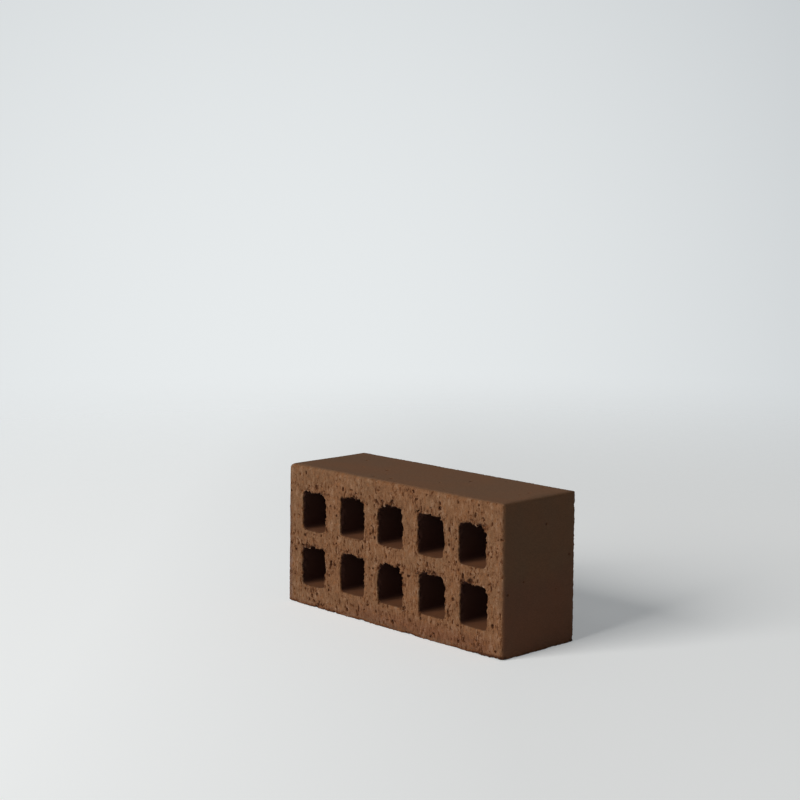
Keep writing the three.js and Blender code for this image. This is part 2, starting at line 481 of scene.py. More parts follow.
# %% Measure the points
def smooth_step(low, high, values):
    """0 at low, 1 at high, and an even curve between. The two may be in either order."""
    part = np.clip((values - low) / (high - low), 0.0, 1.0)
    return part * part * (3.0 - 2.0 * part)


def read_vectors(items, name):
    """One row of three numbers for each vertex or face."""
    flat = np.empty(len(items) * 3, dtype=np.float32)
    items.foreach_get(name, flat)
    return flat.reshape(-1, 3).astype(np.float64)


def gap_to_holes(x, z):
    """Distance to the nearest hole, below 0 inside it, that hole's number, and the height
    above the hole's middle, as 1 at its upper lip and -1 at its lower lip."""
    middles = (holes[:, 0::2] + holes[:, 1::2]) / 2
    halves = (holes[:, 1::2] - holes[:, 0::2]) / 2
    beyond = np.abs(np.stack([x, z], axis=1)[:, None, :] - middles) - halves
    outside = np.linalg.norm(np.maximum(beyond, 0.0), axis=2)
    gaps = outside + np.minimum(beyond.max(axis=2), 0.0)
    nearest = gaps.argmin(axis=1)
    rise = (z - middles[nearest, 1]) / halves[nearest, 1]
    return gaps.min(axis=1), nearest, rise


points = read_vectors(skin.data.vertices, "co") / MM
normals = read_vectors(skin.data.vertices, "normal")
x, y, z = points.T
bed_side = np.where(y > 0, 1.0, -1.0)
bed_gap = half_thickness - np.abs(y)
outer_gap = np.minimum(half_length - np.abs(x), np.minimum(z, width - z))
hole_gap, nearest_hole, rise = gap_to_holes(x, z)
print("points within 1 mm of a bed face:", int((bed_gap < 1.0).sum()))

# %% [markdown]
# ## Noise with a grain
#
# Every mark on the clay has a size and a direction: the wire falls along Z, so its marks are
# long in Z and narrow in X, and they run straight in along Y. One noise with a stretched
# grain can stand for all of them, at different sizes.

# %% Stretched noise
def grain_noise(width_x, width_y, width_z, seed, chosen):
    """Noise from about -1 to 1 at the chosen points, with a grain of the given millimetres."""
    placed = points[chosen] / (width_x, width_y, width_z) + seed
    values = np.zeros(len(points))
    values[chosen] = [noise.noise(place) for place in placed.tolist()]
    return values


print("noise at the first points:", grain_noise(10, 10, 10, 0.0, [0, 1, 2])[:3].round(2))

# %% [markdown]
# ## The wire's face
#
# The falling wire drags the clay. It leaves a slow swell, fine streaks, a grit of grains, and
# small torn pits where a grain was pulled out. The pits crowd above the holes, where the
# clay had nothing behind it, and along the foot, where the wire came out. There are spots
# where they crowd for no such reason, and spots where the wire ran clean. All of this could
# be painted on as bumps, but the larger pits are a millimetre deep and throw shadows, so they
# are cut into the net. The body's own pits are found again, so that they get the colours of
# the others.

# %% Streaks and grit
# How deep behind a bed face the wire's marks end, and from where out they are full.
MARKED_DEPTH = 2.4
FULL_DEPTH = 0.6
# The grain's length through the brick: so long that a mark doesn't change on its way in.
STRAIGHT_IN = 60
# Heights in millimetres.
SWELL_HEIGHT = 0.30
FINE_STREAK_HEIGHT = 0.06
STREAK_HEIGHT = 0.10
LUMP_HEIGHT = 0.16
GRIT_HEIGHT = 0.11

on_bed = bed_gap < MARKED_DEPTH
wire = smooth_step(MARKED_DEPTH, FULL_DEPTH, bed_gap)


def bed_noise(width_x, width_z, seed):
    """Noise on the bed faces alone, which runs straight in."""
    return grain_noise(width_x, STRAIGHT_IN, width_z, seed, on_bed)


swell = SWELL_HEIGHT * bed_noise(38, 52, seed=3.1)
streaks = FINE_STREAK_HEIGHT * bed_noise(1.4, 9, seed=8.7)
streaks += STREAK_HEIGHT * bed_noise(3.2, 15, seed=1.9)
lumps = LUMP_HEIGHT * bed_noise(4.5, 5.5, seed=17.3)
grit = GRIT_HEIGHT * bed_noise(1.1, 1.4, seed=5.3)
print("points on the wire's faces:", int(on_bed.sum()))

# %% Where the pits crowd, and where they keep away
# What each cause adds to the crowding: chance, being above a hole or near one, and the foot.
# The strip where the wire came in takes some away.
CHANCE = 0.90
ABOVE_HOLES = 0.45
ROUND_HOLES = 0.24
AT_FOOT = 0.12
CLEAN_TOP = 0.40
# Spots on the bed that looks along -Y: X, Z and reach in millimetres, and how much they crowd
# there, or keep away where it is below 0.
CROWDED_SPOTS = [
    (44, 49, 10, 0.8),
    (-66, 34, 12, 0.8),
    (-87, 50, 9, 0.6),
    (73, 49, 7, 0.5),
    (53, 98, 8, 0.4),
    (-42, 94, 8, 0.4),
    (-80, 1, 8, 0.8),
    (-20, 39, 9, 0.4),
    (34, 99, 7, -0.3),
    (-46, 49, 9, -0.6),
    (-20, 93, 13, -0.6),
    (18, 49, 10, -0.5),
    (-26, 69, 8, -0.3),
]

crowd = CHANCE * bed_noise(9, 13, seed=6.1)
crowd += ABOVE_HOLES * smooth_step(8, 1, hole_gap) * smooth_step(0.8, 1.0, rise)
crowd += ROUND_HOLES * smooth_step(5, 1, hole_gap)
crowd += AT_FOOT * smooth_step(14, 4, z)
crowd -= CLEAN_TOP * smooth_step(4, 0, width - z)
for spot_x, spot_z, reach, amount in CROWDED_SPOTS:
    spot = smooth_step(reach, 0.4 * reach, np.hypot(x - spot_x, z - spot_z))
    crowd += amount * spot * (bed_side < 0)
print("crowding, from and to:", crowd.min().round(1), crowd.max().round(1))

# %% Small, long and round pits
# Depths in millimetres.
SMALL_PIT_DEPTH = 0.7
LONG_PIT_DEPTH = 1.1
ROUND_PIT_DEPTH = 1.4
# The finer noise that frays a pit's outline: its share, its size against the pit's, and its
# own seed.
FRAY = 0.30
FRAY_SIZE = 0.4
FRAY_SEED = 5.2
CROWDING_POWER = 0.35
RIM_WIDTH = 0.22


def torn_pits(width_x, width_z, seed, start):
    """0 on whole clay and 1 in the middle of a pit. More of them where the marks crowd."""
    tear = bed_noise(width_x, width_z, seed)
    tear += FRAY * bed_noise(FRAY_SIZE * width_x, FRAY_SIZE * width_z, seed + FRAY_SEED)
    rim = start - CROWDING_POWER * crowd
    return smooth_step(0.0, RIM_WIDTH, tear - rim) * wire


small_pits = torn_pits(1.5, 3.2, seed=12.4, start=0.48)
long_pits = torn_pits(1.8, 6.5, seed=15.8, start=0.54)
round_pits = torn_pits(2.7, 3.4, seed=21.6, start=0.57)
pit_depth = SMALL_PIT_DEPTH * small_pits + LONG_PIT_DEPTH * long_pits + ROUND_PIT_DEPTH * round_pits
print("deepest pit, mm:", round(float(pit_depth.max()), 2))

# %% The body's own pits, and the mark of them all
# How strongly each kind is marked for the finish, which paints torn rust at a pit's rim and painted
# shade deep in it.
SMALL_PIT_MARK = 0.7
LARGE_PIT_MARK = 0.9
MAIN_PIT_MARK = 0.80

# The body's own pits are where its bed face lies back, away from the edges and the holes.
in_the_open = smooth_step(1.6, 2.6, np.minimum(outer_gap, hole_gap))
main_pits = smooth_step(0.12, 0.5, bed_gap) * in_the_open
main_pits[~on_bed] = 0.0
wire = np.maximum(wire, main_pits)
pit = SMALL_PIT_MARK * small_pits + LARGE_PIT_MARK * long_pits + LARGE_PIT_MARK * round_pits
pit = np.clip(pit + MAIN_PIT_MARK * main_pits, 0.0, 1.0)
print("share of the wire's faces in pits:", round(float((pit[bed_gap < 0.6] > 0.3).mean()), 3))

# %% [markdown]
# ## Torn mouths and worn edges
#
# The upper lip of each hole is ragged, its sides less so, and the lower lip was smeared
# smooth. At some corners the wire dragged clay over the mouth and partly closed it, and at
# others it tore the mouth wider. The long edges where the wire met the faces of the die are
# nibbled: small chips are missing, and small burrs stand out. The foot of the wire's face is
# the worst, because the last clay tears away there, and in places the edge is lifted clear of
# the floor. The foot of each end was knocked about while the brick was wet, so it is uneven
# as well.

# %% Ragged lips
MOUTH_DEPTH = 7.0
MOUTH_WIDTH = 4.0
FULL_MOUTH = 2.0
# How ragged the lower lip is, and how much more the sides and then the upper lip are.
LOWER_RAGGED = 0.12
SIDE_RAGGED = 0.45
UPPER_RAGGED = 0.45
# Heights in millimetres.
WAVE_HEIGHT = 1.3
BITE_HEIGHT = 1.1

in_mouth = (bed_gap < MOUTH_DEPTH) & (hole_gap < MOUTH_WIDTH)
mouth_fade = smooth_step(MOUTH_DEPTH, FULL_MOUTH, bed_gap)
mouth = mouth_fade * smooth_step(MOUTH_WIDTH, FULL_MOUTH, hole_gap)
raggedness = LOWER_RAGGED + SIDE_RAGGED * smooth_step(-0.9, -0.2, rise)
raggedness += UPPER_RAGGED * smooth_step(0.7, 1.0, rise)
waves = grain_noise(4.2, 5.0, 4.2, seed=31.7, chosen=in_mouth)
bites = grain_noise(2.0, 2.6, 2.0, seed=37.2, chosen=in_mouth)
lip_move = raggedness * mouth * (WAVE_HEIGHT * waves + BITE_HEIGHT * bites)
print("mouth points:", int(in_mouth.sum()))

# %% Corners of the mouths that the wire closed, or tore wider
# How far each corner is closed, in millimetres, or torn wider where it is below 0. The holes
# come in the record's order: from the left, and in each column the lower one first.
CLOSED_TOP_LEFT = np.array([0.0, 0.0, 1.0, 0.8, 1.3, 0.9, 0.0, -1.0, 0.0, 0.6])
CLOSED_TOP_RIGHT = np.array([-1.2, 0.0, 0.0, -0.3, 1.4, 0.0, 0.0, -0.4, 0.0, 1.3])
CLOSED_LOW_RIGHT = np.array([1.0, 1.3, 0.6, 0.4, 0.0, 0.2, 0.0, 1.2, 0.0, 0.5])
UNEVEN_CLOSING = 0.8

middle_x = holes[nearest_hole, 0:2].mean(axis=1)
across = (x - middle_x) / (holes[nearest_hole, 1] - middle_x)
top_closing = np.where(across < 0, CLOSED_TOP_LEFT[nearest_hole], CLOSED_TOP_RIGHT[nearest_hole])
low_closing = np.where(across < 0, 0.0, CLOSED_LOW_RIGHT[nearest_hole])
closing = np.where(rise > 0, top_closing * (1.0 + UNEVEN_CLOSING * bites), low_closing)
closing *= smooth_step(0.3, 0.9, np.abs(rise)) * smooth_step(0.3, 0.9, np.abs(across))
closing *= mouth_fade * smooth_step(3.0, 0.2, hole_gap)
print("corners closed by up to, mm:", round(float(closing.max()), 1))

# %% Nibbled edges
# How worn an edge is, and how much more at the foot and on the bed that looks along +Y.
EDGE_WEAR = 0.30
FOOT_WEAR = 0.70
REAR_WEAR = 0.25
# Heights in millimetres.
ROUGH_HEIGHT = 0.25
BURR_HEIGHT = 0.3
CHIP_DEPTH = 0.7
# Where, along the brick, the foot starts to be torn more, and where it is torn most.
RIGHT_START = 82
RIGHT_FULL = 98
# What the right end adds to the chips at the foot.
RIGHT_CHIPS = 0.35
# How strongly a chip is marked for the finish, which paints it dark as its shade.
CHIP_SHADE_MARK = 0.8

edge_gap = np.hypot(np.maximum(bed_gap, 0.0), np.maximum(outer_gap, 0.0))
near_edge = (edge_gap < 6.0) & (bed_gap < 5.0)
foot = smooth_step(4.0, 1.0, z)
right_end = smooth_step(RIGHT_START, RIGHT_FULL, x)
right_foot = right_end * foot
wear = EDGE_WEAR + FOOT_WEAR * foot + REAR_WEAR * (bed_side > 0)
edge = smooth_step(4.0, 0.8, edge_gap) * wear
nibble = grain_noise(3.0, 3.5, 3.0, seed=41.3, chosen=near_edge)
crumbling = grain_noise(1.5, 1.7, 1.5, seed=47.9, chosen=near_edge)
chips = smooth_step(0.15, 0.5, nibble + RIGHT_CHIPS * right_foot)
burrs = smooth_step(0.2, 0.6, crumbling)
edge_move = edge * (ROUGH_HEIGHT * crumbling + BURR_HEIGHT * burrs - CHIP_DEPTH * chips)
print("edge points:", int(near_edge.sum()))

# %% Lifted and torn foot of the wire's faces
LIFT_HEIGHT = 0.4
# How high the torn clay reaches, and how strongly it is marked for the finish, which paints it rust
# and dark, as the shade of its undercuts.
TORN_HEIGHT = 3.2
TORN_SHADE_MARK = 0.6
# What the right end adds to the height, to the mark and to how much of the foot is torn.
RIGHT_TORN_HEIGHT = 1.6
RIGHT_TORN_SHADE_MARK = 0.35
RIGHT_TORN = 0.7

lifted = grain_noise(13, STRAIGHT_IN, 60, seed=55.3, chosen=near_edge)
lift = smooth_step(0.0, 0.5, lifted)
lift *= LIFT_HEIGHT * smooth_step(5.0, 0.8, bed_gap) * smooth_step(3.0, 0.5, z)
torn_along = grain_noise(16, STRAIGHT_IN, 60, seed=61.9, chosen=near_edge)
torn_along += RIGHT_TORN * right_foot
torn_height = TORN_HEIGHT + RIGHT_TORN_HEIGHT * right_end
torn_foot = smooth_step(-0.3, 0.3, torn_along) * smooth_step(torn_height, 0.3 * torn_height, z)
torn_foot_shade = (TORN_SHADE_MARK + RIGHT_TORN_SHADE_MARK * right_foot) * torn_foot * near_edge
pit = np.maximum(pit, np.maximum(edge * chips * CHIP_SHADE_MARK, torn_foot_shade))
print("lifted by up to, mm:", round(float(lift.max()), 2))

# %% Uneven foot of the ends
# Heights in millimetres.
FILLED_FOOT = 0.25
KNOCK_HEIGHT = 0.5
KNOCK_DENT = 0.4
# How strongly the foot of an end is marked for the finish, which paints a dark strip there as the
# shade beneath it.
KNOCK_SHADE_MARK = 0.5

foot_gap = np.hypot(np.maximum(half_length - np.abs(x), 0.0), z)
near_end_foot = (foot_gap < 4.0) & (bed_gap > 1.0)
end_foot = smooth_step(4.0, 1.0, foot_gap) * smooth_step(1.0, 4.0, bed_gap)
knocks = grain_noise(4.0, 3.4, 4.0, seed=71.9, chosen=near_end_foot)
dents = smooth_step(0.3, 0.6, knocks)
edge_move += end_foot * (FILLED_FOOT + KNOCK_HEIGHT * knocks - KNOCK_DENT * dents)
# A dark strip along the foot of the ends, painted as the shade beneath it.
end_foot_shade = smooth_step(3.5, 1.0, z) * smooth_step(-0.4, 0.2, knocks) * smooth_step(1.0, 3.0, bed_gap)
pit = np.maximum(pit, KNOCK_SHADE_MARK * end_foot_shade * near_end_foot)
print("end foot points:", int(near_end_foot.sum()))

# %% [markdown]
# ## The die's faces
#
# The other four sides and the holes slid along steel, so they are nearly flat. Wet bricks are
# handled and set on one another, which leaves a faint swell, and a stone near the surface
# drags out a small pit here and there. The pits are few, so they are set one by one.

# %% Swell and stone pits
FACE_SWELL_HEIGHT = 0.16
STONE_PITS = 40
STONE_PIT_SHADE_MARK = 0.6
# The least and the most reach of a stone pit, in millimetres, and of its stretch along Y.
STONE_PIT_REACH = (0.6, 1.6)
STONE_PIT_STRETCH = (1.0, 1.8)

smooth_face = (bed_gap > 1.0) & (hole_gap > 4.0)
face_swell = FACE_SWELL_HEIGHT * grain_noise(34, 30, 34, seed=52.8, chosen=smooth_face)
stone_pits = np.zeros(len(points))
draw_pits = np.random.default_rng(12)
face_points = np.flatnonzero(smooth_face & (bed_gap > 4.0) & (outer_gap < 0.5))
for middle in draw_pits.choice(face_points, STONE_PITS, replace=False):
    reach = draw_pits.uniform(*STONE_PIT_REACH)
    off = (points - points[middle]) / (1.0, draw_pits.uniform(*STONE_PIT_STRETCH), 1.0)
    distance = np.linalg.norm(off, axis=1)
    stone_pits = np.maximum(stone_pits, smooth_step(reach, 0.25 * reach, distance))
# The stone pits are painted dark, as their shade.
pit = np.maximum(pit, STONE_PIT_SHADE_MARK * stone_pits)
print("stone pits:", STONE_PITS)

# %% [markdown]
# ## Move the points
#
# The wire's marks go straight into the bed face. The lips, the edges and the die's faces move
# along their own outward direction, and the closed corners of the mouths move towards the
# middle of their hole. Nothing may sink below the foot of the brick.

# %% Apply the relief
LEAST_HEIGHT = 0.02
STONE_PIT_DEPTH = 0.55
# Of a slanted move, the part that goes along each side.
DIAGONAL = math.sqrt(0.5)

out_of_bed = wire * (swell + streaks + lumps + grit) - pit_depth
outward = lip_move + edge_move + face_swell - STONE_PIT_DEPTH * stone_pits
moved = points + normals * outward[:, None]
moved[:, 0] -= np.sign(across) * closing * DIAGONAL
moved[:, 1] += bed_side * out_of_bed
moved[:, 2] -= np.sign(rise) * closing * DIAGONAL
moved[:, 2] = np.maximum(moved[:, 2] + lift, LEAST_HEIGHT)
skin.data.vertices.foreach_set("co", (moved * MM).ravel())
skin.data.update()
print("moved by up to, mm:", round(float(np.abs(moved - points).max()), 2))

# %% [markdown]
# ## Notes for the finish
#
# The clay's colour follows the same marks: rust where clay was torn and painted shade deep in the
# pits, chips and torn or knocked feet, pale on the crumbs, and painted shade on the walls inside the
# holes, where the clay is also a little darker because it had little air in the kiln. The floors of
# the holes are painted warm as bounce light, and darker towards their left wall as its shade. There
# is more. The ends are painted darker as shade, and ruddy lower down as painted bounce light from
# the floor. The foot of the bed is duller and ruddier too, but its lowest edge is greyer instead.
# The top is dusty and painted paler and bluer as sheen from the pale room, the left edge is worn and
# painted darker and greyer as the shade of its rounding, and the right edge was pressed and is
# painted paler and bluer as sheen. Each mark is kept as a number on the points, which the material
# reads.

# %% What stands out from the bare body
standing_out = np.zeros(len(points))
for number in np.flatnonzero((bed_gap < 4.0) & (hole_gap < 6.0)):
    place, facing, _, _ = bare_body.find_nearest(points[number] * MM)
    standing_out[number] = (Vector(points[number]) - place / MM).dot(facing)
print("crumb points:", int((standing_out > 0.3).sum()))

# %% Keep the marks on the points
FOOT_DULLNESS = 0.9
LOWEST_GREYING = 0.4
MOUTH_WIRE = 0.8


def keep_mark(name, values):
    """Stores a number from 0 to 1 on each point, under this name."""
    kept = skin.data.attributes.new(name, "FLOAT", "POINT")
    kept.data.foreach_set("value", np.clip(values, 0.0, 1.0).astype(np.float32))


on_end = half_length - np.abs(x) < 3.2
# The ends are painted darker, as shade.
end_shade = on_end * (1.0 - wire)
# The lower part of the ends is painted ruddy, as bounce light from the floor, up to a ragged border.
bounce_border = z + 10 * grain_noise(30, 30, 12, seed=66.6, chosen=on_end)
end_floor_bounce = end_shade * smooth_step(62, 44, bounce_border)
bed_foot = FOOT_DULLNESS * smooth_step(18, 6, z)
bed_foot = bed_foot * smooth_step(-60, -20, x) * smooth_step(112, 100, x) * wire
lowest = smooth_step(5, 2, z) * wire
# The worn left edge, painted darker and greyer as the shade of its rounding.
worn_left_shade = smooth_step(5.2, 3.6, x + half_length) * smooth_step(105, 70, z) * wire
from_left = x - holes[nearest_hole, 0]

keep_mark("wire", np.maximum(wire, MOUTH_WIRE * mouth))
keep_mark("pit", pit)
keep_mark("crowd", 0.5 + 0.5 * crowd)
# Painted shade inside the holes, from just in from the mouth.
keep_mark("hole_shade", smooth_step(0.2, 2.0, bed_gap) * smooth_step(2.8, 1.6, hole_gap))
# The hole floors, painted warm as bounce light, and darker towards their left wall as its shade.
keep_mark("floor", smooth_step(-0.88, -0.97, rise) * smooth_step(-6.0, 10.0, from_left))
keep_mark("crumb", smooth_step(0.15, 0.5, standing_out))
# Painted shade on the ends, and a duller foot of the bed.
keep_mark("end_shade_and_dull_foot", np.maximum(end_shade, bed_foot))
# Painted bounce light low on the ends, and a ruddier foot of the bed.
keep_mark("bounce_and_ruddy_foot", np.maximum(end_floor_bounce, bed_foot * (1.0 - 0.9 * lowest)))
# Dust on the top, and painted sheen: paler and bluer, as the reflection of the pale room.
keep_mark("dust_and_sheen", smooth_step(1.5, 0.3, width - z) * (1.0 - wire))
# Painted shade on the worn left edge, and a greyer strip along the lowest edge of the bed.
keep_mark("worn_shade_and_grey_foot", np.maximum(worn_left_shade, LOWEST_GREYING * lowest))
# The pressed right edge of the bed, painted paler and bluer as sheen.
keep_mark("pressed_and_sheen", smooth_step(7.5, 4.5, half_length - x) * wire)
print("marks:", [kept.name for kept in skin.data.attributes if kept.data_type == "FLOAT"])

# %% [markdown]
# ## Thin the net
#
# The flat faces need far fewer faces than the torn ones. Decimation takes points away where
# the surface is flat and keeps them in the pits, and the limit keeps the part light enough to
# reuse. It leaves long thin triangles, and a flat face with them would look crumpled when it
# is shaded smooth. Weighted normals cure that: at each point the largest faces decide.

# %% Thin and smooth
MOST_TRIANGLES = 188000

select_only(skin)
corners = skin.modifiers.new("corners", "TRIANGULATE")
bpy.ops.object.modifier_apply(modifier=corners.name)
thin = skin.modifiers.new("thin", "DECIMATE")
thin.ratio = MOST_TRIANGLES / len(skin.data.polygons)
bpy.ops.object.modifier_apply(modifier=thin.name)
bpy.ops.object.shade_smooth()
flat_first = skin.modifiers.new("flat_first", "WEIGHTED_NORMAL")
bpy.ops.object.modifier_apply(modifier=flat_first.name)
print("triangles:", len(skin.data.polygons))

# %% [markdown]
# ## A flat map of the brick
#
# Tools that paint or bake a texture need the surface laid out flat. Left to itself, Blender
# would cut a torn surface into thousands of scraps. A brick opens more simply: six flat faces,
# and ten holes that unroll into strips. Each of these is one chart on a square sheet. The bed
# faces get most of the room, because they carry the finest marks, and the dark holes get the
# least.

# %% Sort the faces into charts
FIRST_HOLE = 6


def pick_charts(middles):
    """Which sheet each face belongs to: 0 and 1 the bed faces, 2 and 3 the ends, 4 the foot,
    5 the top, and 6 onwards the holes."""
    x, y, z = middles.T
    gap, nearest, _ = gap_to_holes(x, z)
    bed_gap = half_thickness - np.abs(y)
    sides = np.stack([half_length + x, half_length - x, z, width - z], axis=1)
    chart = np.where(sides.min(axis=1) < bed_gap, 2 + sides.argmin(axis=1), (y > 0).astype(int))
    in_hole = (gap < -0.6) | ((gap < 2.0) & (bed_gap > 1.0))
    return np.where(in_hole, FIRST_HOLE + nearest, chart)


mesh = skin.data
charts = pick_charts(read_vectors(mesh.polygons, "center") / MM)
print("faces in holes:", int((charts >= FIRST_HOLE).sum()), "of", len(charts))

# %% Lay the charts on the sheet
SHEET = 356.0
SHEET_GAP = 3.0
# Sizes on the sheet against the real ones.
BED_SCALE = 1.0
SIDE_SCALE = 0.75
HOLE_SCALE = 0.5
# The room for a narrow side or a strip, once round a hole, and the room for a hole's depth.
STRIP = 60.0
ROUND_HOLE = 112
DEPTH_STRIP = 43


def lay_side(flat, chart, across, up, scale, left, bottom):
    """Puts one flat side of the brick on the sheet, with its lower left corner at a place."""
    mine = charts_of_corners == chart
    flat[mine] = np.stack([across * scale + left, up * scale + bottom], axis=1)[mine]


def lay_hole(flat, number, places):
    """Unrolls one hole into its strip."""
    low_x, high_x, low_z, high_z = holes[number]
    mine = charts_of_corners == FIRST_HOLE + number
    x, y, z = places[mine].T
    angle = np.arctan2(z - (low_z + high_z) / 2, x - (low_x + high_x) / 2)
    round_it = (angle / math.tau + 0.5) * ROUND_HOLE * HOLE_SCALE
    left = 2 * half_length + SHEET_GAP + (number % 2) * STRIP
    bottom = (number // 2) * DEPTH_STRIP
    flat[mine] = np.stack([round_it + left, (y + half_thickness) * HOLE_SCALE + bottom], axis=1)


def lay_flat(places):
    """Places on the sheet, in millimetres, for the corners of the faces at these places."""
    flat = np.zeros((len(places), 2))
    along = places[:, 0] + half_length
    through = places[:, 1] + half_thickness
    up = places[:, 2]
    row = 2 * width + 2 * SHEET_GAP
    lay_side(flat, 0, along, up, BED_SCALE, 0.0, 0.0)
    lay_side(flat, 1, half_length - places[:, 0], up, BED_SCALE, 0.0, width + SHEET_GAP)
    lay_side(flat, 2, through, up, SIDE_SCALE, 0.0, row)
    lay_side(flat, 3, through, up, SIDE_SCALE, STRIP, row)
    lay_side(flat, 4, along, through, SIDE_SCALE, 2 * STRIP, row)
    lay_side(flat, 5, along, through, SIDE_SCALE, 2 * STRIP, row + STRIP)
    for number in range(len(holes)):
        lay_hole(flat, number, places)
    return flat


charts_of_corners = np.repeat(charts, 3)
corner_points = np.empty(len(mesh.loops), dtype=np.int32)
mesh.loops.foreach_get("vertex_index", corner_points)
corner_places = read_vectors(mesh.vertices, "co")[corner_points] / MM
flat_map = lay_flat(corner_places)
layer = mesh.uv_layers.new(name="OFBake")
layer.uv.foreach_set("vector", (flat_map / SHEET).astype(np.float32).ravel())
print("sheet used, mm:", flat_map.max(axis=0).round(1))

# %% [markdown]
# ## Fired clay
#
# Clay fired brown is never one colour. The finish is built from layers, each with its own grain, and
# each laid over the last: a slow mottle, upright streaks on the wire's face, tints (painted shade on
# the ends and the worn left edge, painted bounce light low on the ends, painted sheen on the dusty
# top and the pressed right edge, a duller, ruddier foot of the bed and a greyer lowest edge), orange
# patches where fresh clay was torn open, dark flecks, rust and painted shade in the pits, pale
# crumbs, a fine sand grain, and painted shade on the walls of the holes. The die's faces stay plain.
# A few helpers keep the layers short to write.

# %% Helpers for the clay's layers
clay = bpy.data.materials.new("fired_clay")
clay.use_nodes = True
clay_nodes, clay_links = clay.node_tree.nodes, clay.node_tree.links
clay_shader = clay_nodes["Principled BSDF"]
clay_place = clay_nodes.new("ShaderNodeTexCoord")


def grain(width_x, width_y, width_z, detail=2.0, seed=0.0):
    """Noise with a grain of the given millimetres along each side of the brick."""
    stretch = clay_nodes.new("ShaderNodeMapping")
    stretch.inputs["Scale"].default_value = [1 / (side * MM) for side in (width_x, width_y, width_z)]
    stretch.inputs["Location"].default_value = (seed, seed, seed)
    pattern = clay_nodes.new("ShaderNodeTexNoise")
    pattern.inputs["Scale"].default_value = 1.0
    pattern.inputs["Detail"].default_value = detail
    clay_links.new(clay_place.outputs["Object"], stretch.inputs["Vector"])
    clay_links.new(stretch.outputs["Vector"], pattern.inputs["Vector"])
    return pattern.outputs["Fac"]


def mark(name):
    """One of the marks that were kept on the points."""
    kept = clay_nodes.new("ShaderNodeAttribute")
    kept.attribute_name = name
    return kept.outputs["Fac"]


def step(value, low, high, low_out=0.0, high_out=1.0):
    """An even rise from low_out to high_out as the value goes from low to high."""
    rise = clay_nodes.new("ShaderNodeMapRange")
    rise.interpolation_type = "SMOOTHSTEP"
    rise.inputs["From Min"].default_value = low
    rise.inputs["From Max"].default_value = high
    rise.inputs["To Min"].default_value = low_out
    rise.inputs["To Max"].default_value = high_out
    clay_links.new(value, rise.inputs["Value"])
    return rise.outputs["Result"]


def feed(value, socket):
    """Links a value into a socket, or writes it there if it is a plain number or colour."""
    if isinstance(value, (int, float)):
        socket.default_value = value
    elif isinstance(value, tuple):
        socket.default_value = (*value, 1.0)
    else:
        clay_links.new(value, socket)


def sum_up(operation, first, second):
    """Math on two values."""
    math_node = clay_nodes.new("ShaderNodeMath")
    math_node.operation = operation
    feed(first, math_node.inputs[0])
    feed(second, math_node.inputs[1])
    return math_node.outputs["Value"]


def times(first, second):
    """One value times another."""
    return sum_up("MULTIPLY", first, second)


def lay(amount, under, over, blend="MIX"):
    """One colour laid over another."""
    mixer = clay_nodes.new("ShaderNodeMix")
    mixer.data_type = "RGBA"
    mixer.blend_type = blend
    feed(amount, mixer.inputs[MIX_AMOUNT])
    feed(under, mixer.inputs[MIX_UNDER])
    feed(over, mixer.inputs[MIX_OVER])
    return mixer.outputs[MIX_RESULT]


print("clay material:", clay.name)

# %% Colours of the clay
BROWN = (0.166, 0.082, 0.0385)
WARM_BROWN = (0.178, 0.081, 0.0355)
PALE_DRAG = (0.245, 0.140, 0.080)
DARK_DRAG = (0.110, 0.048, 0.020)
TORN_ORANGE = (0.200, 0.077, 0.026)
TORN_RUST = (0.130, 0.046, 0.013)
FLECK_BROWN = (0.074, 0.021, 0.004)
# Painted shade, deep in the pits, chips and torn or knocked feet.
PIT_SHADE_BROWN = (0.044, 0.012, 0.002)
CRUMB_BUFF = (0.42, 0.26, 0.17)
# Painted shade on the walls inside the holes, and painted bounce light on their floors.
HOLE_SHADE_BROWN = (0.050, 0.017, 0.012)
HOLE_FLOOR_BOUNCE = (0.156, 0.060, 0.025)
# Tints, which multiply what lies under them.
SAND_DARK = (0.84, 0.82, 0.80)
SAND_PALE = (1.16, 1.17, 1.18)
# Painted shade on the ends, and a duller foot of the bed.
SHADE_AND_DULL_TINT = (0.80, 0.81, 0.80)
# Painted bounce light low on the ends, and a ruddier foot of the bed.
BOUNCE_AND_RUDDY_TINT = (1.0, 0.86, 0.88)
# Dust, and painted sheen from the pale room, on the top.
DUST_AND_SHEEN_TINT = (1.04, 1.115, 1.27)
# Painted shade on the worn left edge, and a greyer lowest edge of the bed.
WORN_SHADE_TINT = (0.78, 0.84, 1.12)
# Painted sheen on the pressed right edge of the bed.
PRESSED_AND_SHEEN_TINT = (1.07, 1.09, 1.15)
print("the clay's own colour:", BROWN)

# %% Mottle, and the streaks that the wire dragged
BROAD_SHARE = 0.45
FINE_SHARE = 0.55
STREAK_STRENGTH = 0.80

wire_mark, pit_and_shade_mark, crowd_mark = mark("wire"), mark("pit"), mark("crowd")
mottle = lay(step(grain(38, 30, 34, 3.0), 0.35, 0.65), BROWN, WARM_BROWN)
broad = grain(6.0, 20, 9.0, 2.0, seed=7.0)
drag = grain(2.2, 20, 5.5, 4.0, seed=3.0)
streak = sum_up("ADD", times(broad, BROAD_SHARE), times(drag, FINE_SHARE))
pale = times(step(streak, 0.50, 0.66), wire_mark)
dark = times(step(streak, 0.50, 0.34), wire_mark)
pale_dragged = lay(times(pale, STREAK_STRENGTH), mottle, PALE_DRAG)
dragged = lay(times(dark, STREAK_STRENGTH), pale_dragged, DARK_DRAG)
print("layers so far:", len(clay_nodes), "nodes")

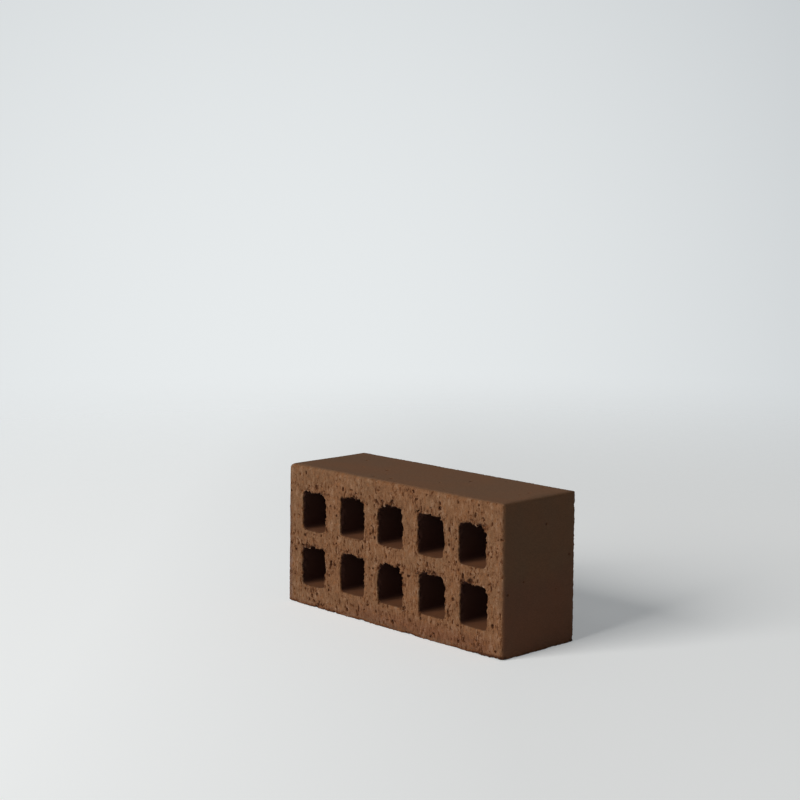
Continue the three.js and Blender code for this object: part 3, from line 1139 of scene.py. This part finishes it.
# %% Tints: painted shade, painted bounce light and painted sheen, with dust, wear and a dull, ruddy foot
tinted = dragged
FACE_TINTS = [
    ("end_shade_and_dull_foot", SHADE_AND_DULL_TINT),
    ("bounce_and_ruddy_foot", BOUNCE_AND_RUDDY_TINT),
    ("dust_and_sheen", DUST_AND_SHEEN_TINT),
    ("worn_shade_and_grey_foot", WORN_SHADE_TINT),
    ("pressed_and_sheen", PRESSED_AND_SHEEN_TINT),
]
for name, tint in FACE_TINTS:
    tinted = lay(mark(name), tinted, tint, "MULTIPLY")
print("tints:", [name for name, _ in FACE_TINTS])

# %% Fresh clay in the tears, flecks, and rust and painted shade in the pits
FRESH_STRENGTH = 0.50
TORN_STRENGTH = 0.80
FLECK_STRENGTH = 0.80
PIT_SHADE_STRENGTH = 0.90
CROWD_SHARE = 0.18

patches = step(grain(2.6, 20, 3.8, 3.0, seed=11.0), 0.53, 0.66)
fresh = lay(times(times(patches, wire_mark), FRESH_STRENGTH), tinted, TORN_ORANGE)
torn = lay(step(pit_and_shade_mark, 0.02, 0.30, 0.0, TORN_STRENGTH), fresh, TORN_RUST)
crowding = times(crowd_mark, CROWD_SHARE)
flecks = step(sum_up("ADD", grain(1.2, 20, 4.2, 2.0, seed=23.0), crowding), 0.66, 0.76)
flecked = lay(times(times(flecks, wire_mark), FLECK_STRENGTH), torn, FLECK_BROWN)
# Deep in each pit, chip and torn or knocked foot the clay is painted near black, as its shade.
pit_shade = step(pit_and_shade_mark, 0.22, 0.8)
pit_shaded = lay(times(pit_shade, PIT_SHADE_STRENGTH), flecked, PIT_SHADE_BROWN)
print("layers so far:", len(clay_nodes), "nodes")

# %% Pale crumbs and sand
SPECK_STRENGTH = 0.5

speckle = sum_up("ADD", grain(0.8, 20, 1.0, 1.0, seed=37.0), crowding)
specks = times(step(speckle, 0.80, 0.86), wire_mark)
paleness = step(grain(4.0, 4.0, 4.0, 1.0, seed=53.0), 0.35, 0.60, 0.25, 0.95)
pale_crumbs = times(mark("crumb"), paleness)
crumbs_seen = sum_up("MAXIMUM", times(specks, SPECK_STRENGTH), pale_crumbs)
crumbed = lay(crumbs_seen, pit_shaded, CRUMB_BUFF)
sand = lay(step(grain(0.6, 1.5, 0.6, 3.0, seed=29.0), 0.35, 0.65), SAND_DARK, SAND_PALE)
sandy = lay(step(wire_mark, 0.0, 1.0, 0.5, 1.0), crumbed, sand, "MULTIPLY")
print("layers so far:", len(clay_nodes), "nodes")

# %% Painted shade on the walls and floors of the holes, and painted bounce light on the floors
HOLE_SHADE_STRENGTH = 0.92
RAGGED_SHARE = 0.5

ragged = times(grain(1.5, 1.5, 2.5, 2.0, seed=59.0), RAGGED_SHARE)
# Inside the holes the clay is painted near black as shade, with a ragged edge at the mouth.
in_hole = step(sum_up("ADD", mark("hole_shade"), ragged), 0.60, 0.95, 0.0, HOLE_SHADE_STRENGTH)
hole_shade_colour = lay(mark("floor"), HOLE_SHADE_BROWN, HOLE_FLOOR_BOUNCE)
finished = lay(in_hole, sandy, hole_shade_colour)
clay_links.new(finished, clay_shader.inputs["Base Color"])
print("layers of colour:", len(clay_nodes), "nodes")

# %% Sheen and fine relief
SHEEN = 0.25
# Roughness on the die's faces and on the wire's.
DIE_ROUGHNESS = 0.72
WIRE_ROUGHNESS = 0.92
# The full height of the finest grain, in millimetres, and the share of each kind of it.
FINE_HEIGHT = 0.3
BUMP_STRENGTH = 0.8
FACE_SHARE = 0.28
DRAG_SHARE = 0.6
GRIT_SHARE = 1.5

clay_shader.inputs["Specular IOR Level"].default_value = SHEEN
roughness = step(wire_mark, 0.0, 1.0, DIE_ROUGHNESS, WIRE_ROUGHNESS)
clay_links.new(roughness, clay_shader.inputs["Roughness"])
face_grain = times(grain(0.7, 4.0, 0.7, 4.0, seed=41.0), FACE_SHARE)
grit_grain = times(grain(0.6, 20, 0.8, 4.0, seed=43.0), GRIT_SHARE)
wire_grain = times(sum_up("ADD", times(drag, DRAG_SHARE), grit_grain), wire_mark)
relief = clay_nodes.new("ShaderNodeBump")
relief.inputs["Strength"].default_value = BUMP_STRENGTH
relief.inputs["Distance"].default_value = FINE_HEIGHT * MM
clay_links.new(sum_up("ADD", face_grain, wire_grain), relief.inputs["Height"])
clay_links.new(relief.outputs["Normal"], clay_shader.inputs["Normal"])
skin.data.materials.append(clay)
print("layers:", len(clay_nodes), "nodes")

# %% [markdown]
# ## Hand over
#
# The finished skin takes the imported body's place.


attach(skin, "root")
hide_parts("brick")
bpy.context.view_layer.update()
